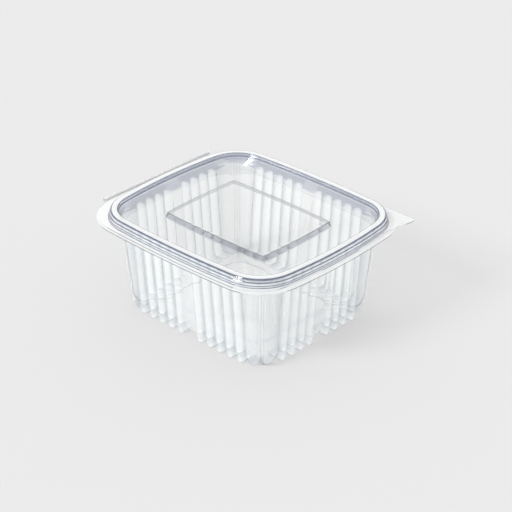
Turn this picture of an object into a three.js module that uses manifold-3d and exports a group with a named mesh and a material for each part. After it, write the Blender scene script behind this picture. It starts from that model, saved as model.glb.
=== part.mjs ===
// A clear takeaway meal box: a fluted rectangular tray and a shallow lid of the same
// thin sheet, joined along the back by a rolled living hinge, with a pull tab on one
// front corner. Millimetres, +Z up, the lid shut. The hinge is at +Y and the tab at
// +X, -Y. The origin is on the ground under the middle of the whole box.
import * as THREE from "three";
import { mergeVertices } from "three/addons/utils/BufferGeometryUtils.js";
import Module from "manifold-3d";

// Driving dimensions.
const SHEET = 0.5;
const LONG_SIDE_PITCH = 8;
const SHORT_SIDE_PITCH = 7.6;
const LONG_SIDE_FLUTES = 5;
const SHORT_SIDE_FLUTES = 4;
const FLUTE_HALF_WIDTH = 3.4;
const CREST_HALF_WIDTH = 2.4;
const FLUTE_DEPTH = 1.1;

const FOOT_HALF_X = 50.2;
const FOOT_HALF_Y = 57.5;
const FOOT_PAD = 1.8;
const FOOT_REACH = 9.5;
const LAND_LIFT = 2.4;
const LAND_INSET = 3.2;
const FLOOR_Z = 2.6;
const BAR_END_DROP = 0.5;
const PANEL_RISE = 1.2;

const HEEL_Z = 5;
const CORNER_HEEL_RISE = 3;
const BEND_Z = 18;
const CAP_Z = 59.2;
const NECK_Z = 61.4;
const WALL_TOP_X = 54.7;
const WALL_TOP_Y = 61.9;
const WALL_BEND_X = 51;
const WALL_BEND_Y = 58.3;
const WALL_CORNER = 11;
const WALL_BOW = 1.6;
const FOOT_BOW = 0.8;

const BEAD_HALF_X = 62.7;
const BEAD_HALF_Y = 70.9;
const BEAD_BOW_X = 3.5;
const BEAD_BOW_Y = 5.9;
const BEAD_CORNER = 25.6;
const BEAD_TOP_Z = 65.9;

const TRAY_FLANGE_Z = 59;
const LID_FLANGE_Z = 59.9;
const LID_FIELD_Z = 58.4;
const LID_SHELF_Z = 62.1;
const LID_PANEL_Z = 61.4;
const LID_PANEL_X = 29.8;
const LID_PANEL_Y = 40;

const FLANGE_BACK_Y = 78.4;
const HINGE_HALF_LENGTH = 44.5;
const HINGE_ROLL_Y = 78.7;
const HINGE_ROLL_Z = 60.2;
const HINGE_ROLL_RADIUS = 1.5;
const HINGE_GAP_ANGLE = 16;
const TRAY_FLANGE_FRONT_Y = 75.7;
const HINGE_GAP_COSINE = Math.cos((HINGE_GAP_ANGLE * Math.PI) / 180);
const HINGE_BACK_Y = HINGE_ROLL_Y + HINGE_ROLL_RADIUS * HINGE_GAP_COSINE;
const ORIGIN_SHIFT_Y = (TRAY_FLANGE_FRONT_Y - HINGE_BACK_Y) / 2;

// The corners of the feet are cut back to a shallow arc between the last flutes.
const FOOT_ARC_CENTRE = new THREE.Vector2(12.4, 18.8);
const FOOT_ARC_RADIUS = 44.2;

const wasm = await Module();
wasm.setup();

// One quarter of a bowed rectangle: each side is a shallow arc that bulges by its bow,
// and the corner is an arc tangent to both sides.
class Quarter {
  constructor(halfX, halfY, bowX, bowY, corner) {
    this.radiusX = (halfY * halfY + bowX * bowX) / (2 * bowX);
    this.radiusY = (halfX * halfX + bowY * bowY) / (2 * bowY);
    this.centreX = halfX - this.radiusX;
    this.centreY = halfY - this.radiusY;
    this.corner = corner;
    this.middle = this.findCornerCentre(halfX - corner, halfY - corner);
    const m = this.middle;
    this.startAngle = Math.atan2(m.y, m.x - this.centreX);
    this.endAngle = Math.atan2(m.y - this.centreY, m.x);
  }

  findCornerCentre(x, y) {
    const reachX = this.radiusX - this.corner;
    const reachY = this.radiusY - this.corner;
    for (let step = 0; step < 40; step += 1) {
      const ax = x - this.centreX;
      const by = y - this.centreY;
      const lengthA = Math.hypot(ax, y);
      const lengthB = Math.hypot(x, by);
      const missA = lengthA - reachX;
      const missB = lengthB - reachY;
      const det = (ax * by - y * x) / (lengthA * lengthB);
      x -= ((missA * by) / lengthB - (missB * y) / lengthA) / det;
      y -= ((missB * ax) / lengthA - (missA * x) / lengthB) / det;
    }
    return new THREE.Vector2(x, y);
  }

  // The same quarter moved outwards by a distance.
  offset(distance) {
    const copy = Object.create(Quarter.prototype);
    Object.assign(copy, this);
    copy.radiusX = this.radiusX + distance;
    copy.radiusY = this.radiusY + distance;
    copy.corner = this.corner + distance;
    return copy;
  }

  onSideX(angle) {
    const x = this.centreX + this.radiusX * Math.cos(angle);
    return new THREE.Vector2(x, this.radiusX * Math.sin(angle));
  }

  onCorner(angle) {
    const x = this.middle.x + this.corner * Math.cos(angle);
    return new THREE.Vector2(x, this.middle.y + this.corner * Math.sin(angle));
  }

  onSideY(angle) {
    const y = this.centreY + this.radiusY * Math.sin(angle);
    return new THREE.Vector2(this.radiusY * Math.cos(angle), y);
  }

  // The outline's angle where it passes a given y, on the side or on the corner.
  angleAtY(y) {
    const sideEnd = this.radiusX * Math.sin(this.startAngle);
    if (y <= sideEnd) {
      return Math.asin(y / this.radiusX);
    }
    return Math.asin((y - this.middle.y) / this.corner);
  }

  angleAtX(x) {
    const sideEnd = this.radiusY * Math.cos(this.endAngle);
    if (x <= sideEnd) {
      return Math.acos(x / this.radiusY);
    }
    return Math.acos((x - this.middle.x) / this.corner);
  }

  // The point whose outward normal has the given angle.
  at(angle) {
    if (angle < this.startAngle) {
      return this.onSideX(angle);
    }
    return angle > this.endAngle ? this.onSideY(angle) : this.onCorner(angle);
  }
}

// Stations round a quarter of the fluted wall: where each lies, how far it is sunk,
// from 0 on a flute's crest to 1 on the land between flutes, and how far it is turned
// into the corner, from 0 along the sides to 1 in the middle of the corner.
const CORNER_GROOVES = [0.38, 0.5, 0.62];
const CORNER_GROOVE_HALF = 0.02;
const SIDE_SHARE = 0.42;

function fluteStations(count, pitch, place) {
  const stations = [];
  for (let k = 1; k <= count; k += 1) {
    for (const [shift, sunk] of [
      [-FLUTE_HALF_WIDTH, 1], [-CREST_HALF_WIDTH, 0], [CREST_HALF_WIDTH, 0], [FLUTE_HALF_WIDTH, 1],
    ]) {
      const along = k * pitch + shift;
      const share = (along / (count * pitch + FLUTE_HALF_WIDTH)) * SIDE_SHARE;
      stations.push({ place, along, sunk, share });
    }
  }
  return stations;
}

function quarterStations() {
  const longSide = fluteStations(LONG_SIDE_FLUTES, LONG_SIDE_PITCH, "x");
  const shortSide = fluteStations(SHORT_SIDE_FLUTES, SHORT_SIDE_PITCH, "y").reverse();
  const panel = [0.06, 0.17, 0.28];
  const grooves = CORNER_GROOVES.flatMap((along) => [
    [along - CORNER_GROOVE_HALF, 0], [along, 0.6], [along + CORNER_GROOVE_HALF, 0],
  ]);
  const cornerPoints = [
    ...panel.map((along) => [along, 0]),
    ...grooves,
    ...panel.map((along) => [1 - along, 0]).reverse(),
  ];
  const corner = cornerPoints.map(([along, sunk]) => ({
    place: "corner", along, sunk, share: SIDE_SHARE + along * (1 - 2 * SIDE_SHARE),
  }));
  for (const station of shortSide) {
    station.share = 1 - station.share;
  }
  const first = { place: "x", along: 0, sunk: 1, share: 0 };
  const last = { place: "y", along: 0, sunk: 1, share: 1 };
  return [first, ...longSide, ...corner, ...shortSide, last];
}

const STATIONS = quarterStations();
const LAST_LONG = LONG_SIDE_FLUTES * LONG_SIDE_PITCH + FLUTE_HALF_WIDTH;
const LAST_SHORT = SHORT_SIDE_FLUTES * SHORT_SIDE_PITCH + FLUTE_HALF_WIDTH;

// How far a point of the foot's outline moves in, along its normal, to reach the arc
// that cuts the corner back.
function cornerCut(point, angle) {
  const fromCentre = point.clone().sub(FOOT_ARC_CENTRE);
  const excess = fromCentre.lengthSq() - FOOT_ARC_RADIUS * FOOT_ARC_RADIUS;
  if (excess <= 0) {
    return 0;
  }
  const outwards = fromCentre.x * Math.cos(angle) + fromCentre.y * Math.sin(angle);
  return outwards - Math.sqrt(outwards * outwards - excess);
}

function flutedQuarter(quarter, inset, height) {
  const low = quarter.angleAtY(LAST_LONG);
  const high = quarter.angleAtX(LAST_SHORT);
  return STATIONS.map((station) => {
    let angle = low + (high - low) * station.along;
    if (station.place === "x") {
      angle = quarter.angleAtY(station.along);
    } else if (station.place === "y") {
      angle = quarter.angleAtX(station.along);
    }
    const point = quarter.at(angle);
    const turn = station.place === "corner" ? Math.sin(Math.PI * station.along) : 0;
    const depth = inset(station.sunk, point, angle);
    point.x -= Math.cos(angle) * depth;
    point.y -= Math.sin(angle) * depth;
    return { x: point.x, y: point.y, z: height(station.sunk, turn), share: station.share };
  });
}

const SIDE_STEPS = 3;
const CORNER_STEPS = 7;

function plainQuarter(quarter, z, sideSteps = SIDE_STEPS, cornerSteps = CORNER_STEPS) {
  const points = [];
  const add = (angle, share) => {
    const point = quarter.at(angle);
    points.push({ x: point.x, y: point.y, z, share });
  };
  for (let i = 0; i < sideSteps; i += 1) {
    add((quarter.startAngle * i) / sideSteps, (SIDE_SHARE * i) / sideSteps);
  }
  for (let i = 0; i <= cornerSteps; i += 1) {
    const t = i / cornerSteps;
    const angle = quarter.startAngle + (quarter.endAngle - quarter.startAngle) * t;
    add(angle, SIDE_SHARE + t * (1 - 2 * SIDE_SHARE));
  }
  for (let i = 1; i <= sideSteps; i += 1) {
    const t = i / sideSteps;
    const angle = quarter.endAngle + (Math.PI / 2 - quarter.endAngle) * t;
    add(angle, 1 - SIDE_SHARE * (1 - t));
  }
  return points;
}

// A whole ring from four quarters, counterclockwise from +X. The quarters are those at
// (+X, +Y), (-X, +Y), (-X, -Y) and (+X, -Y).
function ring(quarters) {
  const signs = [[1, 1], [-1, 1], [-1, -1], [1, -1]];
  const points = [];
  signs.forEach(([signX, signY], index) => {
    const turned = index % 2 === 1;
    const quarter = turned ? [...quarters[index]].reverse() : quarters[index];
    quarter.slice(0, -1).forEach((point) => {
      const share = turned ? 1 - point.share : point.share;
      points.push({ x: signX * point.x, y: signY * point.y, z: point.z, share: index + share });
    });
  });
  return points;
}

function plainRing(outline, z) {
  const outlines = Array.isArray(outline) ? outline : [outline, outline, outline, outline];
  return ring(outlines.map((quarter) => plainQuarter(quarter, z)));
}

function flutedRing(outline, inset, height) {
  const quarter = flutedQuarter(outline, inset, height);
  return ring([quarter, quarter, quarter, quarter]);
}

function sharpRing(outline, z) {
  const quarter = plainQuarter(outline, z, 1, 1);
  return ring([quarter, quarter, quarter, quarter]);
}

// A closed skin through a list of rings, from the middle of the underside, out and up
// the outside, over the rim, and down the inside to the middle again.
function skin(rings, firstZ, lastZ) {
  const positions = [0, 0, firstZ];
  const faces = [];
  const starts = rings.map((points) => {
    const start = positions.length / 3;
    points.forEach((point) => positions.push(point.x, point.y, point.z));
    return start;
  });
  const last = positions.length / 3;
  positions.push(0, 0, lastZ);
  const count = rings[0].length;
  for (let i = 0; i < count; i += 1) {
    faces.push(0, starts[0] + ((i + 1) % count), starts[0] + i);
  }
  for (let n = 0; n + 1 < rings.length; n += 1) {
    joinRings(faces, rings[n], starts[n], rings[n + 1], starts[n + 1]);
  }
  const end = rings.length - 1;
  const endCount = rings[end].length;
  for (let i = 0; i < endCount; i += 1) {
    faces.push(starts[end] + i, starts[end] + ((i + 1) % endCount), last);
  }
  const geometry = new THREE.BufferGeometry();
  geometry.setAttribute("position", new THREE.Float32BufferAttribute(positions, 3));
  geometry.setIndex(faces);
  return geometry;
}

function joinRings(faces, lower, lowerStart, upper, upperStart) {
  const lowerCount = lower.length;
  const upperCount = upper.length;
  let i = 0;
  let j = 0;
  while (i < lowerCount || j < upperCount) {
    const nextLower = i + 1 < lowerCount ? lower[i + 1].share : 4;
    const nextUpper = j + 1 < upperCount ? upper[j + 1].share : 4;
    const a = lowerStart + (i % lowerCount);
    const b = upperStart + (j % upperCount);
    if (j >= upperCount || (i < lowerCount && nextLower <= nextUpper)) {
      faces.push(a, lowerStart + ((i + 1) % lowerCount), b);
      i += 1;
    } else {
      faces.push(a, upperStart + ((j + 1) % upperCount), b);
      j += 1;
    }
  }
}

function toManifold(source) {
  const bare = source.clone();
  bare.deleteAttribute("normal");
  bare.deleteAttribute("uv");
  const merged = mergeVertices(bare, 1e-5);
  const mesh = new wasm.Mesh({
    numProp: 3,
    vertProperties: new Float32Array(merged.attributes.position.array),
    triVerts: new Uint32Array(merged.index.array),
  });
  return new wasm.Manifold(mesh);
}

function toGeometry(solid) {
  const mesh = solid.getMesh();
  const geometry = new THREE.BufferGeometry();
  geometry.setAttribute("position", new THREE.BufferAttribute(new Float32Array(mesh.vertProperties), 3));
  geometry.setIndex(new THREE.BufferAttribute(new Uint32Array(mesh.triVerts), 1));
  geometry.computeVertexNormals();
  return geometry;
}

function plate(points, bottomZ) {
  const shape = new THREE.Shape(points);
  const geometry = new THREE.ExtrudeGeometry(shape, { depth: SHEET, bevelEnabled: false });
  geometry.translate(0, 0, bottomZ);
  return toManifold(geometry);
}

// Outlines that the tray and the lid share.
const bead = new Quarter(BEAD_HALF_X, BEAD_HALF_Y, BEAD_BOW_X, BEAD_BOW_Y, BEAD_CORNER);

function wall(height, outwards = 0) {
  const t = (height - BEND_Z) / (NECK_Z - BEND_Z);
  const halfX = WALL_BEND_X + (WALL_TOP_X - WALL_BEND_X) * t;
  const halfY = WALL_BEND_Y + (WALL_TOP_Y - WALL_BEND_Y) * t;
  const bow = FOOT_BOW + (WALL_BOW - FOOT_BOW) * t;
  return new Quarter(halfX, halfY, bow, bow, WALL_CORNER).offset(outwards);
}

const heel = new Quarter(WALL_BEND_X - 0.2, WALL_BEND_Y - 0.2, FOOT_BOW, FOOT_BOW, WALL_CORNER + 1);
const foot = new Quarter(FOOT_HALF_X, FOOT_HALF_Y, FOOT_BOW, FOOT_BOW, WALL_CORNER);
const floorPanel = new Quarter(33, 40, 0.8, 0.8, 9);

// The hinge's half roll: a bent strip along the back, above or below the fold line.
function halfRoll(side, lastAngle) {
  const steps = 7;
  const first = THREE.MathUtils.degToRad(HINGE_GAP_ANGLE);
  const last = THREE.MathUtils.degToRad(lastAngle);
  const outside = [];
  const inside = [];
  for (let i = 0; i <= steps; i += 1) {
    const angle = first + ((last - first) * i) / steps;
    const y = Math.cos(angle);
    const z = side * Math.sin(angle);
    outside.push(new THREE.Vector2(y, z).multiplyScalar(HINGE_ROLL_RADIUS));
    inside.push(new THREE.Vector2(y, z).multiplyScalar(HINGE_ROLL_RADIUS - SHEET));
  }
  const shape = new THREE.Shape([...outside, ...inside.reverse()]);
  const length = 2 * HINGE_HALF_LENGTH;
  const geometry = new THREE.ExtrudeGeometry(shape, { depth: length, bevelEnabled: false });
  geometry.applyMatrix4(new THREE.Matrix4().makeBasis(
    new THREE.Vector3(0, 1, 0), new THREE.Vector3(0, 0, 1), new THREE.Vector3(1, 0, 0),
  ));
  geometry.translate(-HINGE_HALF_LENGTH, HINGE_ROLL_Y, HINGE_ROLL_Z);
  return toManifold(geometry);
}

// The strip of flange that carries the roll, with a notch left at each end of it.
function hingeStrip(bottomZ, far) {
  const near = far - 3;
  return plate([
    new THREE.Vector2(-HINGE_HALF_LENGTH, near), new THREE.Vector2(HINGE_HALF_LENGTH, near),
    new THREE.Vector2(HINGE_HALF_LENGTH, far), new THREE.Vector2(-HINGE_HALF_LENGTH, far),
  ], bottomZ);
}

function buildTray() {
  const fullDepth = (sunk) => FLUTE_DEPTH * sunk;
  const deeper = (depth) => (...where) => SHEET + depth(...where);
  const level = (z) => () => z;
  const footInset = (sunk, point, angle) => Math.max(LAND_INSET * sunk, cornerCut(point, angle));
  const heelInset = (sunk) => 2 * FLUTE_DEPTH * sunk;
  const heelHeight = (sunk, turn) => HEEL_Z + CORNER_HEEL_RISE * turn;
  const capInset = (sunk) => FLUTE_DEPTH * (0.35 + 0.65 * sunk);
  const footHeight = (lift) => (sunk) => lift + LAND_LIFT * sunk;
  const padEdge = (extra) => (...where) => FOOT_PAD + extra + footInset(...where);
  const barEnd = foot.offset(-FOOT_REACH);
  const barHeight = (lift) => (sunk) => FLOOR_Z + lift - BAR_END_DROP * (1 - sunk);
  const flangeBack = new Quarter(67.4, FLANGE_BACK_Y, BEAD_BOW_X, 0.4, 29.5);
  const flangeFront = new Quarter(67.4, TRAY_FLANGE_FRONT_Y, BEAD_BOW_X, BEAD_BOW_Y, 29);
  const flangeTab = new Quarter(67.4, TRAY_FLANGE_FRONT_Y, BEAD_BOW_X - 1.5, BEAD_BOW_Y - 0.5, 21);
  const flange = [flangeBack, flangeBack, flangeFront, flangeTab];
  const flangeTop = TRAY_FLANGE_Z + SHEET;
  const rings = [
    plainRing(floorPanel.offset(-1.2), FLOOR_Z + PANEL_RISE),
    plainRing(floorPanel, FLOOR_Z),
    flutedRing(barEnd, level(0), barHeight(0)),
    flutedRing(foot, padEdge(0), footHeight(0)),
    flutedRing(foot, footInset, footHeight(0)),
    flutedRing(heel, heelInset, heelHeight),
    flutedRing(wall(BEND_Z), fullDepth, level(BEND_Z)),
    flutedRing(wall(CAP_Z), fullDepth, level(CAP_Z)),
    flutedRing(wall(CAP_Z + 1.5), capInset, level(CAP_Z + 1.5)),
    plainRing(wall(NECK_Z, -0.4), NECK_Z),
    plainRing(bead.offset(-5.05), 61.95),
    plainRing(bead.offset(-4.25), 62.1),
    plainRing(bead.offset(-2.9), 64.4),
    plainRing(bead.offset(-1.6), 64.4),
    plainRing(bead.offset(-0.95), 62),
    plainRing(bead.offset(-0.25), TRAY_FLANGE_Z),
    plainRing(flange, TRAY_FLANGE_Z),
    plainRing(flange, flangeTop),
    plainRing(bead.offset(0.25), flangeTop),
    plainRing(bead.offset(-0.45), 62.05),
    plainRing(bead.offset(-1.15), 64.7),
    plainRing(bead.offset(-1.5), 64.9),
    plainRing(bead.offset(-3), 64.9),
    plainRing(bead.offset(-3.4), 64.6),
    plainRing(bead.offset(-4.6), 62.6),
    plainRing(bead.offset(-5.4), 62.35),
    plainRing(wall(NECK_Z, -0.8), NECK_Z + 0.45),
    flutedRing(wall(CAP_Z + 1.5), deeper(capInset), level(CAP_Z + 1.4)),
    flutedRing(wall(CAP_Z), deeper(fullDepth), level(CAP_Z)),
    flutedRing(wall(BEND_Z), deeper(fullDepth), level(BEND_Z)),
    flutedRing(heel, deeper(heelInset), heelHeight),
    flutedRing(foot, deeper(footInset), footHeight(SHEET)),
    flutedRing(foot, padEdge(0.2), footHeight(SHEET)),
    flutedRing(barEnd, level(0), barHeight(SHEET)),
    plainRing(floorPanel.offset(0.2), FLOOR_Z + SHEET),
    plainRing(floorPanel.offset(-1), FLOOR_Z + PANEL_RISE + SHEET),
  ];
  const tub = toManifold(skin(rings, FLOOR_Z + PANEL_RISE, FLOOR_Z + PANEL_RISE + SHEET));
  return tub.add(hingeStrip(TRAY_FLANGE_Z, HINGE_ROLL_Y - 0.4)).add(halfRoll(-1, 120));
}

// The pull tab fills the front right corner of the lid's flange out to a blunt point.
function pullTab() {
  const root = bead.offset(0.95);
  const points = [];
  const steps = 10;
  for (let i = 0; i <= steps; i += 1) {
    const angle = THREE.MathUtils.degToRad(12 + (66 * i) / steps);
    const point = root.at(angle);
    points.push(new THREE.Vector2(point.x, -point.y));
  }
  points.push(new THREE.Vector2(42, -70.2), new THREE.Vector2(52, -71.2), new THREE.Vector2(58, -72.6));
  const tip = new THREE.Vector2(64.6, -71.5);
  for (let i = 0; i <= 4; i += 1) {
    const angle = THREE.MathUtils.degToRad(-100 + (105 * i) / 4);
    points.push(new THREE.Vector2(tip.x + 2 * Math.cos(angle), tip.y + 2 * Math.sin(angle)));
  }
  points.push(new THREE.Vector2(66.9, -52), new THREE.Vector2(66.2, -28));
  return plate(points, LID_FLANGE_Z);
}

function buildLid() {
  const flangeBack = new Quarter(66.3, HINGE_ROLL_Y - 1.3, BEAD_BOW_X, 0.4, 28.5);
  const flangeFront = new Quarter(66.3, 73, BEAD_BOW_X, BEAD_BOW_Y, 26.5);
  const flange = [flangeBack, flangeBack, flangeFront, flangeFront];
  const plug = wall(LID_FIELD_Z, -2.35);
  const panel = new Quarter(LID_PANEL_X, LID_PANEL_Y, 1.2, 1, 0.6);
  const flangeTop = LID_FLANGE_Z + SHEET;
  const rings = [
    sharpRing(panel.offset(-0.3), LID_PANEL_Z - SHEET),
    sharpRing(panel.offset(0.5), LID_FIELD_Z - SHEET),
    plainRing(plug.offset(0.25), LID_FIELD_Z - SHEET),
    plainRing(plug.offset(0.4), LID_FIELD_Z - 0.2),
    plainRing(plug.offset(0.55), LID_SHELF_Z - 0.2),
    plainRing(plug.offset(0.85), LID_SHELF_Z),
    plainRing(bead.offset(-5.55), 63.1),
    plainRing(bead.offset(-4.5), 63.4),
    plainRing(bead.offset(-4.1), 65.2),
    plainRing(bead.offset(-3.9), 65.4),
    plainRing(bead.offset(-0.75), 65.4),
    plainRing(bead.offset(-0.5), 65.2),
    plainRing(bead.offset(0.1), 63.2),
    plainRing(bead.offset(0.75), LID_FLANGE_Z),
    plainRing(flange, LID_FLANGE_Z),
    plainRing(flange, flangeTop),
    plainRing(bead.offset(1.2), flangeTop),
    plainRing(bead.offset(1.05), 61.7),
    plainRing(bead.offset(0.75), 61.9),
    plainRing(bead.offset(0.6), 63.3),
    plainRing(bead.offset(0.3), 63.5),
    plainRing(bead.offset(0), 65.5),
    plainRing(bead.offset(-0.4), BEAD_TOP_Z),
    plainRing(bead.offset(-4.2), BEAD_TOP_Z),
    plainRing(bead.offset(-4.6), 65.5),
    plainRing(bead.offset(-5), 63.75),
    plainRing(bead.offset(-5.95), 63.5),
    plainRing(plug.offset(0.4), LID_SHELF_Z + 0.4),
    plainRing(plug.offset(0.1), LID_SHELF_Z + 0.05),
    plainRing(plug, LID_FIELD_Z),
    sharpRing(panel.offset(0.9), LID_FIELD_Z),
    sharpRing(panel, LID_PANEL_Z),
  ];
  const cover = toManifold(skin(rings, LID_PANEL_Z - SHEET, LID_PANEL_Z));
  const strip = hingeStrip(LID_FLANGE_Z, HINGE_ROLL_Y - 1.2);
  return cover.add(strip).add(halfRoll(1, 186)).add(pullTab());
}

function clearSheet() {
  return new THREE.MeshStandardMaterial({
    color: 0xe9eef2, roughness: 0.06, metalness: 0, transparent: true, opacity: 0.35,
  });
}

function namedMesh(name, solid) {
  const mesh = new THREE.Mesh(toGeometry(solid), clearSheet());
  mesh.name = name;
  return mesh;
}

const box = new THREE.Group();
box.name = "meal_box";
box.position.y = ORIGIN_SHIFT_Y;
box.add(namedMesh("tray", buildTray()));
box.add(namedMesh("lid", buildLid()));

export default box;
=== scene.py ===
# %% [markdown]
# # A clear takeaway meal box
#
# This is a small food box of crystal clear plastic sheet, formed over a mould with heat and
# vacuum. It is one sheet: a deep tray, a rolled fold along the back edge and a shallow lid.
# The walls of the tray are fluted, which lets a very thin sheet carry weight.
# The lesson builds the tray and the lid as closed skins of thin sheet, repeats the flutes
# with Geometry Nodes, and finishes with a clear plastic that bends light. Painted shade in the
# bends and in the gaps between flutes, and a faint painted glow, show the lines of a real sheet.

# %% Open the measured frame
import math
import bpy
import numpy as np
from mathutils import Matrix, Vector


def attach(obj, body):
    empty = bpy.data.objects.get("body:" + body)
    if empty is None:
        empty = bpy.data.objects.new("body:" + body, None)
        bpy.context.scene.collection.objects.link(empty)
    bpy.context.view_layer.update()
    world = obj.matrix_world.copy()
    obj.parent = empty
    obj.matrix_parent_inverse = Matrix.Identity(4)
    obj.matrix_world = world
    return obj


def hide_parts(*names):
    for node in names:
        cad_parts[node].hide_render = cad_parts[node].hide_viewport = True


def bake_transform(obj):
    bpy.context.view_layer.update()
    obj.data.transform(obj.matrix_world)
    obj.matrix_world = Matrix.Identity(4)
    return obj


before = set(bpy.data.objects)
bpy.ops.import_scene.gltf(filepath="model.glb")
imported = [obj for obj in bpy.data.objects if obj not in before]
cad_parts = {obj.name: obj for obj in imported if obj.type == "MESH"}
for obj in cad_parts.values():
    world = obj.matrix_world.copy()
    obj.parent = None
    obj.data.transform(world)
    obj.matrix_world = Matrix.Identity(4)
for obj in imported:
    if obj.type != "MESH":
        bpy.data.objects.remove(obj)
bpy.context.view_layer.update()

# %% [markdown]
# ## Sizes
#
# Every size is in millimetres, as on a maker's drawing, and becomes metres when a mesh is made.
# The drawing's middle is the middle of the tray. The frame's middle is a little further to the
# front, because the rolled hinge adds to the back, so one shift in Y joins the two.

# %% Sizes of the sheet and of the flutes
MM = 0.001
ROW_SHIFT_Y = -2.2209
SHEET = 0.36
LONG_SIDE_PITCH = 8.0
SHORT_SIDE_PITCH = 7.6
FLUTE_HALF_WIDTH = 3.75
FLUTE_DEPTH = 1.1
LONG_SIDE_FLUTES = 5
SHORT_SIDE_FLUTES = 4
print("flutes round the tray:", 4 * (LONG_SIDE_FLUTES + SHORT_SIDE_FLUTES))

# %% [markdown]
# ## Outlines
#
# Seen from above, each line of the box is a rectangle with rounded corners whose sides bulge a
# little. One quarter is enough, because the rest is its mirror image. A side is an arc of a very
# large circle, and the corner is an arc that touches both sides. A point is found by the angle
# of its outward normal, so that lines of different size can be joined point by point.


# %% One quarter of an outline
NEWTON_STEPS = 30
SMALLEST_CORNER = 0.3


class Outline:
    def __init__(self, half_x, half_y, bow_x, bow_y, corner):
        self.radius_x = (half_y ** 2 + bow_x ** 2) / (2 * bow_x)
        self.radius_y = (half_x ** 2 + bow_y ** 2) / (2 * bow_y)
        self.centre_x = half_x - self.radius_x
        self.centre_y = half_y - self.radius_y
        self.corner = corner
        self.find_corner(half_x - corner, half_y - corner)
        self.start = math.atan2(self.my, self.mx - self.centre_x)
        self.end = math.atan2(self.my - self.centre_y, self.mx)
        self.side_end_y = self.radius_x * math.sin(self.start)
        self.side_end_x = self.radius_y * math.cos(self.end)

    def find_corner(self, x, y):
        """The middle of the corner arc, found by Newton's method from a close guess."""
        reach_x = self.radius_x - self.corner
        reach_y = self.radius_y - self.corner
        for _ in range(NEWTON_STEPS):
            ax = x - self.centre_x
            by = y - self.centre_y
            length_a = math.hypot(ax, y)
            length_b = math.hypot(x, by)
            miss_a = length_a - reach_x
            miss_b = length_b - reach_y
            det = (ax * by - y * x) / (length_a * length_b)
            x -= (miss_a * by / length_b - miss_b * y / length_a) / det
            y -= (miss_b * ax / length_a - miss_a * x / length_b) / det
        self.mx = x
        self.my = y

    def angle_at_y(self, y):
        side = np.arcsin(np.clip(y / self.radius_x, -1, 1))
        corner = np.arcsin(np.clip((y - self.my) / self.corner, -1, 1))
        return np.where(y <= self.side_end_y, side, corner)

    def angle_at_x(self, x):
        side = np.arccos(np.clip(x / self.radius_y, -1, 1))
        corner = np.arccos(np.clip((x - self.mx) / self.corner, -1, 1))
        return np.where(x <= self.side_end_x, side, corner)

    def at(self, angle):
        c = np.cos(angle)
        s = np.sin(angle)
        x = np.where(angle > self.end, self.radius_y * c, self.mx + self.corner * c)
        y = np.where(angle < self.start, self.radius_x * s, self.my + self.corner * s)
        x = np.where(angle < self.start, self.centre_x + self.radius_x * c, x)
        y = np.where(angle > self.end, self.centre_y + self.radius_y * s, y)
        return x, y


def offset(outline, distance):
    """The sizes of an outline moved outwards by a distance, with its arcs kept parallel."""
    half_x, half_y, bow_x, bow_y, corner = outline
    radius_x = (half_y ** 2 + bow_x ** 2) / (2 * bow_x) + distance
    radius_y = (half_x ** 2 + bow_y ** 2) / (2 * bow_y) + distance
    new_x = half_x + distance
    new_y = half_y + distance
    new_bow_x = radius_x - math.sqrt(radius_x ** 2 - new_y ** 2)
    new_bow_y = radius_y - math.sqrt(radius_y ** 2 - new_x ** 2)
    return (new_x, new_y, new_bow_x, new_bow_y, max(corner + distance, SMALLEST_CORNER))


BEAD = (62.7, 70.9, 3.5, 5.9, 25.6)
print("the bead is", 2 * BEAD[0], "by", 2 * BEAD[1], "mm")

# %% [markdown]
# ## Stations and rings
#
# A ring is one outline with a fixed number of points, its stations. Those of a side keep their
# distance from its middle, so that a flute stays upright from foot to rim, and they stand
# closest where a flute's flanks are steep. Those of the corner share out its turn.

# %% Where the points of a fluted side stand
FLUTE_POINTS = np.array([0.0, 0.9, 1.7, 2.4, 2.95, 3.4, FLUTE_HALF_WIDTH])


def fluted_side(count, pitch):
    """Distances from the middle of a side: the plain panel, then each flute's own points."""
    one_flute = np.concatenate([-FLUTE_POINTS[:0:-1], FLUTE_POINTS])
    places = [np.array([0.0, (pitch - FLUTE_HALF_WIDTH) / 2])]
    for number in range(1, count + 1):
        places.append(number * pitch + one_flute)
    return np.concatenate(places)


# %% Stations of a quarter, and a ring from four quarters
class Stations:
    def __init__(self, long, corner_steps, short):
        self.last_y = long[-1]
        self.last_x = short[-1]
        self.long = long
        self.corner = np.linspace(0, 1, corner_steps + 1)[1:-1]
        self.short = short[::-1]
        nothing = np.zeros
        self.along = np.concatenate([self.long, nothing(len(self.corner)), self.short])
        self.pitch = np.concatenate([
            np.full(len(self.long), LONG_SIDE_PITCH),
            np.ones(len(self.corner)),
            np.full(len(self.short), SHORT_SIDE_PITCH),
        ])
        self.turn = np.concatenate([
            nothing(len(self.long)), np.sin(np.pi * self.corner), nothing(len(self.short)),
        ])
        self.flutes = np.concatenate([
            np.full(len(self.long), float(LONG_SIDE_FLUTES)),
            nothing(len(self.corner)),
            np.full(len(self.short), float(SHORT_SIDE_FLUTES)),
        ])

    def angles(self, outline):
        scale_y = min(1.0, outline.side_end_y / self.last_y)
        scale_x = min(1.0, outline.side_end_x / self.last_x)
        low = outline.angle_at_y(self.long * scale_y)
        high = outline.angle_at_x(self.short * scale_x)
        middle = low[-1] + (high[0] - low[-1]) * self.corner
        return np.concatenate([low, middle, high])

    def corner_crest(self, grooves, width, depth):
        """How far each corner station stands out, from 1 on a smooth panel down in a groove."""
        crest = np.zeros(len(self.along))
        first = len(self.long)
        share = 1 - sum(
            depth * np.exp(-((self.corner - groove) / width) ** 2) for groove in grooves
        )
        crest[first:first + len(self.corner)] = share
        return crest


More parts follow.
